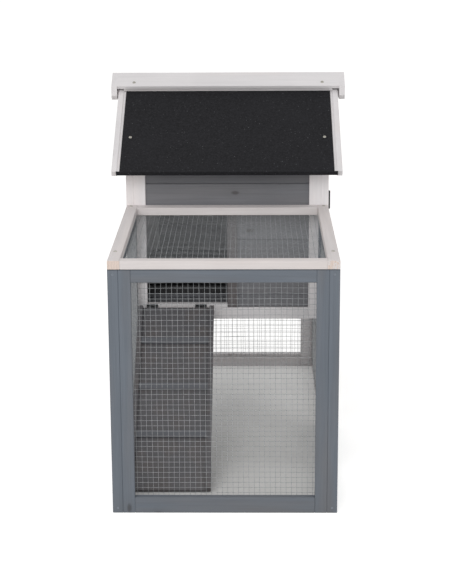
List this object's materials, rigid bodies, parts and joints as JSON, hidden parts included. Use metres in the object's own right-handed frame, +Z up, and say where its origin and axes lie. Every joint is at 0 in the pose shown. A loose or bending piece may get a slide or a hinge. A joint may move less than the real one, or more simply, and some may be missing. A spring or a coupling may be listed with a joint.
{
  "type": "two-tier guinea pig hutch",
  "caption": "Small wooden hutch: a mesh run with a ramp in front of a gabled house on legs, with swinging doors, an opening roof lid and a slide-out tray.",
  "frame": {"origin": "on the ground under the middle of the hutch's bounding box", "axes": "+X to the right seen from the run's front, +Y from the run towards the house, +Z up"},
  "size_m": [0.626, 1.2108, 0.912],
  "materials": {
    "blue_grey_paint": "satin blue-grey wood stain over planed fir",
    "white_paint": "satin white paint over planed fir",
    "grey_paint": "satin mid-grey paint over tongue-and-groove fir",
    "dark_grey_paint": "matt dark grey stain over fir",
    "jamb_paint": "brownish grey paint over fir",
    "floor_paint": "matt grey paint over plywood",
    "deck_paint": "white paint over plywood",
    "mineral_felt": "black asphalt roofing felt with fine mineral granules",
    "galvanised_wire": "galvanised welded wire",
    "black_metal": "black lacquered steel",
    "zinc_screw": "zinc plated steel",
    "black_plastic": "matt black moulded plastic"
  },
  "bodies": {
    "hutch": {"run_front_stiles": "blue_grey_paint", "run_front_rails": "blue_grey_paint", "run_front_mesh": "galvanised_wire", "run_side_stiles": "blue_grey_paint", "run_side_rails": "blue_grey_paint", "run_side_meshes": "galvanised_wire", "run_top_side_rails": "white_paint", "run_top_cross_rails": "white_paint", "run_top_mesh": "galvanised_wire", "run_top_screws": "zinc_screw", "house_front_stiles": "white_paint", "doorway_jamb": "jamb_paint", "house_front_rails": "white_paint", "house_front_boards": "grey_paint", "door_sill": "white_paint", "house_side_legs": "white_paint", "house_side_rails": "white_paint", "gable_rafters": "white_paint", "ridge_beam": "white_paint", "gable_boards": "grey_paint", "house_back_stiles": "white_paint", "house_back_rails": "white_paint", "house_back_boards": "grey_paint", "under_house_meshes": "galvanised_wire", "floor_bearers": "floor_paint", "house_floor": "floor_paint", "tray_guides": "floor_paint", "roof_decks": "deck_paint", "roof_felts": "mineral_felt", "roof_trims": "white_paint", "ridge_battens": "white_paint", "ridge_cap_boards": "white_paint", "ridge_end_plates": "white_paint", "roof_screws": "zinc_screw", "fixed_hinge_leaves": "black_metal", "hinge_pins": "black_metal", "bolt_keepers": "black_metal"},
    "ramp": {"ramp_panel": "dark_grey_paint", "ramp_side_rails": "dark_grey_paint", "ramp_rungs": "dark_grey_paint", "ramp_hinge_leaves": "black_metal"},
    "roof_lid": {"lid_deck": "deck_paint", "lid_felt": "mineral_felt", "lid_trims": "white_paint", "lid_hinge_leaves": "black_metal"},
    "house_door": {"house_door_stiles": "white_paint", "house_door_rails": "white_paint", "house_door_boards": "grey_paint", "house_door_hinge_leaves": "black_metal", "house_bolt_plate": "black_metal"},
    "house_door_bolt": {"house_bolt": "black_metal"},
    "run_door": {"run_door_stiles": "blue_grey_paint", "run_door_rails": "blue_grey_paint", "run_door_mesh": "galvanised_wire", "run_door_hinge_leaves": "black_metal", "run_bolt_plate": "black_metal"},
    "run_door_bolt": {"run_bolt": "black_metal"},
    "tray": {"tray": "black_plastic", "tray_fascia": "white_paint", "tray_knob": "black_plastic"}
  },
  "joints": [
    {"name": "ramp_hinge", "type": "hinge", "parent": "hutch", "child": "ramp", "pos_m": [0, -0.00316, 0.329], "axis": [-1, 0, 0], "range_deg": [0, 55]},
    {"name": "roof_lid_hinge", "type": "hinge", "parent": "hutch", "child": "roof_lid", "pos_m": [0, 0.34701, 0.85095], "axis": [1, 0, 0], "range_deg": [0, 135]},
    {"name": "house_door_hinge", "type": "hinge", "parent": "hutch", "child": "house_door", "pos_m": [0.2653, 0.04214, 0.52551], "axis": [0, 0, -1], "range_deg": [0, 120]},
    {"name": "house_door_bolt_slide", "type": "slide", "parent": "house_door", "child": "house_door_bolt", "axis": [0, 1, 0], "range_m": [0, 0.012]},
    {"name": "run_door_hinge", "type": "hinge", "parent": "hutch", "child": "run_door", "pos_m": [0.2638, -0.30786, 0.2955], "axis": [0, 0, -1], "range_deg": [0, 110]},
    {"name": "run_door_bolt_slide", "type": "slide", "parent": "run_door", "child": "run_door_bolt", "axis": [0, 1, 0], "range_m": [0, 0.012]},
    {"name": "tray_slide", "type": "slide", "parent": "hutch", "child": "tray", "axis": [1, 0, 0], "range_m": [0, 0.42]}
  ]
}
